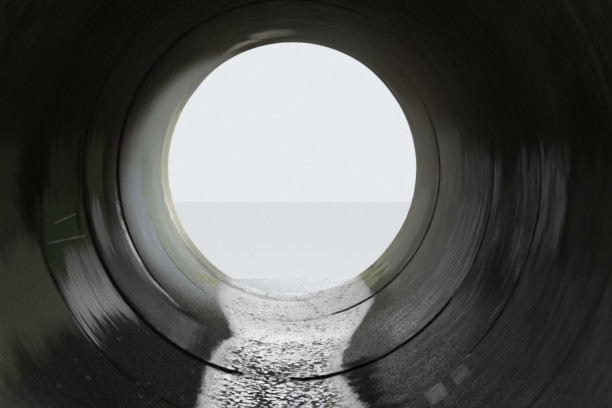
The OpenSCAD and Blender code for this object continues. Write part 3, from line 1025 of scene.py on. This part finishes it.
def pipe_piece(number, node, inside, outside):
    """One pipe, turned round its own axis, with worn rims and a scoured floor."""
    low, high = (np.array(corner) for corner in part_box(node))
    middle = (low + high) / 2
    length = high[1] - low[1]
    rows = pipe_rows(length)
    radius, along, zones = (np.repeat(column, AROUND) for column in zip(*rows))
    clock = np.tile(np.linspace(-math.pi, math.pi, AROUND, endpoint=False), len(rows))
    radius = radius + pipe_wear(clock, radius, along, zones, length, 100 * number)
    points = round_axis(middle[[0, 2]], radius, clock, low[1] + along)
    is_outside = (zones == "out").astype(np.int32)
    faces = tube_faces(len(rows), AROUND)
    thing = mesh_object(f"{node}_worn", points, faces, [inside, outside], is_outside)
    settle(thing, "pipe_concrete", node)


def mouth_surface(y):
    """The centre and the radius of the mouth's ring at a distance along."""
    return np.array(MOUTH_CENTRE), MOUTH_R + (BORE_R - MOUTH_CENTRE[0] - MOUTH_R) * y / RING_LEN


def silt(name, material, near, far, clock):
    """Silt that fills a joint, flush with the ring or pipe on either side of it.

    Each side is its distance along, its centre and its radius. The clock angles are in degrees.
    """
    angles = np.radians(np.linspace(*clock, SILT_POINTS))
    inside = smooth_step(np.minimum(angles - angles[0], angles[-1] - angles), 0, SILT_RUNOUT)
    section = [(*knot, 0) for knot in SILT_TOP]
    section += [(*knot, SILT_DEPTH) for knot in reversed(SILT_TOP)]
    rows = []
    for share, height, depth in section:
        blend = smooth_step(share, 0, 1)
        centre = near[1] + (far[1] - near[1]) * blend
        lift = (height + SILT_LIFT) * inside - SILT_SINK - depth * inside
        radius = near[2] + (far[2] - near[2]) * blend - lift
        rows.append(round_axis(centre, radius, angles, near[0] + (far[0] - near[0]) * share))
    quads = tube_faces(len(rows), SILT_POINTS, closed=False)
    facing_in = quads[:, [0, 3, 2, 1]]
    settle(mesh_object(name, np.concatenate(rows), facing_in, [material]), "mortar")


def lay_silt(material):
    """Silt behind the mouth's ring and in stretches of the first four joints."""
    boxes = [np.array(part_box(pipe)) for pipe in PIPES]
    middles = [box.mean(axis=0)[[0, 2]] for box in boxes]
    start = FIRST_JOINT - SILT_HALF
    end = start + 2 * SILT_HALF
    sides = (start, *mouth_surface(start)), (end, middles[0], BORE_R)
    silt("silt_at_mouth", material, *sides, MOUTH_SILT)
    for joint, place, clock in SILT_FILLS:
        y = boxes[joint][0][1]
        near = (y - SILT_BEFORE, middles[joint - 1], BORE_R)
        far = (y + SILT_BEHIND, middles[joint], BORE_R)
        silt(f"silt_in_joint_{joint}{place}", material, near, far, clock)


def off_axis(places):
    """How far places lie from the barrel's axis."""
    return np.hypot(places[:, 0], places[:, 2] - AXIS_Z)


def mouth_crust(places, seed):
    """How thick the lime lies on the two flanks of the mouth's ring."""
    out = off_axis(places)
    flank = smooth_step(np.abs(places[:, 0]) / out, 0.5, 0.85)
    along = smooth_step(-places[:, 1], -RING_LEN, -0.1) * (places[:, 1] > 0.005)
    crust = CRUST + 0.0015 * fractal(places, 9, 3, seed)
    return np.where(out < LINING_R, flank * along * crust, 0)


def cut_places(low, high, pitch):
    """Where to cut a solid along one axis: evenly, and finely beside its two ends."""
    near, far = EDGE_CUTS
    if high - low < 3 * far:
        return []
    inner = steps(low + far, high - far, pitch)
    return [low + near] + inner + [high - far, high - near]


def cut_solid(node, pitch):
    """A CAD solid, cut into a fine grid of triangles."""
    work = bmesh.new()
    work.from_mesh(frame["nodes"][node].data)
    bmesh.ops.remove_doubles(work, verts=work.verts, dist=1e-5)
    bmesh.ops.dissolve_limit(work, angle_limit=FLAT_ANGLE, verts=work.verts, edges=work.edges)
    low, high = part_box(node)
    for axis in range(3):
        across = [float(i == axis) for i in range(3)]
        for place in cut_places(low[axis], high[axis], pitch):
            everything = work.verts[:] + work.edges[:] + work.faces[:]
            at = [place * value for value in across]
            bmesh.ops.bisect_plane(work, geom=everything, dist=1e-6, plane_co=at, plane_no=across)
    bmesh.ops.triangulate(work, faces=work.faces)
    work.normal_update()
    return work


def is_on_arris(vertex):
    """Whether a sharp edge meets the vertex."""
    return any(
        len(edge.link_faces) == 2 and edge.calc_face_angle() > ARRIS_ANGLE
        for edge in vertex.link_edges
    )


def wear_depth(places, arris, wear, chips, seed):
    """How deep a solid is worn at each place: a little all over, and in bites on its arrises."""
    swells = fractal(places, 2.0, 3, seed)
    pocks = fractal(places, 20, 2, seed + 5)
    depth = wear * (1 + 0.5 * swells + 0.3 * pocks)
    large = smooth_step(fractal(places, 6, 4, seed + 10), 0.35, 1.2)
    small = smooth_step(value_noise(places * 45, seed + 20), -0.2, 1)
    return np.maximum(depth, 0) + np.where(arris, chips * (large + 0.15 * small), 0)


def worn_piece(node, slot, material, pitch, wear, chips, seed, lining):
    """A CAD solid, worn inwards all over and chipped along its arrises, but not where it stands.

    The lining is the material of the faces that line the barrel.
    """
    work = cut_solid(node, pitch)
    places = np.array([vertex.co for vertex in work.verts])
    normals = np.array([vertex.normal for vertex in work.verts])
    arris = np.array([is_on_arris(vertex) for vertex in work.verts])
    depth = wear_depth(places, arris, wear, chips, seed)
    if node == "headwall":
        crusted = RING_WEAR * depth - mouth_crust(places, seed)
        depth = np.where(off_axis(places) < LINING_R, crusted, depth)
    depth = np.where(places[:, 2] < STANDS_BELOW, 0, depth)
    places -= normals * depth[:, None]
    for vertex, place in zip(work.verts, places):
        vertex.co = place
    mesh = bpy.data.meshes.new(f"{node}_worn")
    work.to_mesh(mesh)
    work.free()
    mesh.materials.clear()
    mesh.materials.append(material)
    mesh.materials.append(lining)
    middles = np.array([polygon.center for polygon in mesh.polygons])
    lines_barrel = (off_axis(middles) < LINING_R) & (middles[:, 1] > WALL_CHAMFER)
    mesh.polygons.foreach_set("material_index", lines_barrel.astype(np.int32))
    mesh.shade_smooth()
    mesh.set_sharp_from_angle(angle=WORN_SMOOTH_ANGLE)
    settle(new_object(f"{node}_worn", mesh), slot, node)


def dress_solids(lining):
    """Wears every solid but the pipes and the seals. Each kind has its pitch, wear and chips."""
    cradle = rough_concrete("cradle_concrete", (0.47, 0.45, 0.4), (0.33, 0.31, 0.27), 0.5)
    footing = rough_concrete("footing_concrete", (0.42, 0.4, 0.36), (0.29, 0.27, 0.23), 0.6)
    cast, coping, apron, pointing = cast_concrete(), coping_concrete(), apron_concrete(), mortar()
    kinds = {
        "headwall": ("cast_concrete", cast, 0.045, 0.0018, 0.012),
        "headwall_footing": ("footing_concrete", footing, 0.06, 0.004, 0.02),
        "headwall_coping": ("coping_concrete", coping, 0.03, 0.0015, 0.016),
        "barrel_collar": ("mortar", pointing, 0.03, 0.004, 0.008),
        "wing_wall": ("cast_concrete", cast, 0.045, 0.0018, 0.014),
        "wing_coping": ("coping_concrete", coping, 0.03, 0.0015, 0.016),
        "apron_slab": ("apron_concrete", apron, 0.045, 0.002, 0.014),
        "cutoff_wall": ("footing_concrete", footing, 0.06, 0.004, 0.02),
        "cradle": ("cradle_concrete", cradle, 0.04, 0.003, 0.018),
        "joint_mortar": ("mortar", lining, 0.02, 0.0005, 0.0015),
    }
    for seed, node in enumerate(sorted(frame["nodes"])):
        matches = [kind for kind in kinds if node.startswith(kind)]
        if matches:
            slot, *how = kinds[max(matches, key=len)]
            worn_piece(node, slot, *how, seed=31 * seed, lining=lining)


def dress_seals(material):
    """The seals keep their CAD shape and get their rubber."""
    for name, node in frame["nodes"].items():
        if name.startswith("joint_seal"):
            node.data.materials.clear()
            node.data.materials.append(material)


def build_camera():
    data = bpy.data.cameras.new("main_camera")
    data.sensor_width = SENSOR_MM
    data.lens = FOCAL_PX / IMAGE_W_PX * SENSOR_MM
    data.clip_end = 200
    camera = new_object("main_camera", data)
    camera.location = CAMERA_AT
    camera.rotation_euler = (math.pi / 2 - CAMERA_DOWN, 0, math.pi - CAMERA_ASIDE)
    bpy.context.scene.camera = camera


def area_light(name, at, towards, size, watts, colour, spread):
    data = bpy.data.lights.new(name, "AREA")
    data.size = size
    data.spread = math.radians(spread)
    data.energy = watts
    data.color = colour
    lamp = new_object(name, data)
    lamp.visible_camera = False
    lamp.location = at
    aim = np.array(towards) - np.array(at)
    yaw = math.atan2(aim[1], aim[0]) - math.pi / 2
    pitch = math.atan2(aim[2], math.hypot(aim[0], aim[1]))
    lamp.rotation_euler = (math.pi / 2 + pitch, 0, yaw)


def seen_directly(shade):
    """1 for what the camera, a reflection or a refraction sees, 0 for light on the object."""
    rays = shade.node("LightPath")
    kinds = ("Is Camera Ray", "Is Glossy Ray", "Is Transmission Ray")
    return shade.either(*(rays.outputs[kind] for kind in kinds))


def build_light():
    """A pale studio: soft light from the front and above, and less from behind the barrel."""
    world = bpy.data.worlds.new("studio")
    s = Shade(world)
    above = s.rise(s.z, -0.1, 0.7)
    behind = s.without(s.rise(s.y, -0.2, 0.4), s.rise(s.z, 0.6, 0.95))
    light = s.add(LIGHT_BELOW, s.times(above, LIGHT_ABOVE))
    light = s.without(light, s.times(behind, SHADE_BEHIND))
    strength = s.either(light, s.times(seen_directly(s), SEEN_SKY))
    background = s.node("Background", {"Color": SKY, "Strength": strength})
    s.node("OutputWorld", {0: background.outputs[0]})
    bpy.context.scene.world = world
    for name, lamp in LAMPS.items():
        area_light(name, *lamp)


def build_floor():
    """The floor: pale where it shows, and duller in the light that it throws back."""
    s = Shade("pale_floor")
    material = s.finish((0.22, 0.22, 0.215), 0.9, s.bump(s.noise(40), 0.001, 0.1))
    shader = s.tree.nodes["Principled BSDF"]
    shader.inputs["Emission Color"].default_value = (*SKY, 1)
    s.put(shader.inputs["Emission Strength"], s.times(seen_directly(s), SEEN_FLOOR))
    corners = np.array([[-1, -1, 0], [1, -1, 0], [1, 1, 0], [-1, 1, 0]]) * FLOOR_REACH
    floor = mesh_object("floor", corners, np.array([[0, 1, 2, 3]]), [material])


build_camera()
build_light()
build_floor()
inside = barrel_inside()
outside = pipe_outside()
for number, node in enumerate(PIPES, 1):
    pipe_piece(number, node, inside, outside)
dress_solids(inside)
lay_silt(inside)
dress_seals(seal_rubber())

scene = bpy.context.scene
scene.view_settings.view_transform = "Standard"
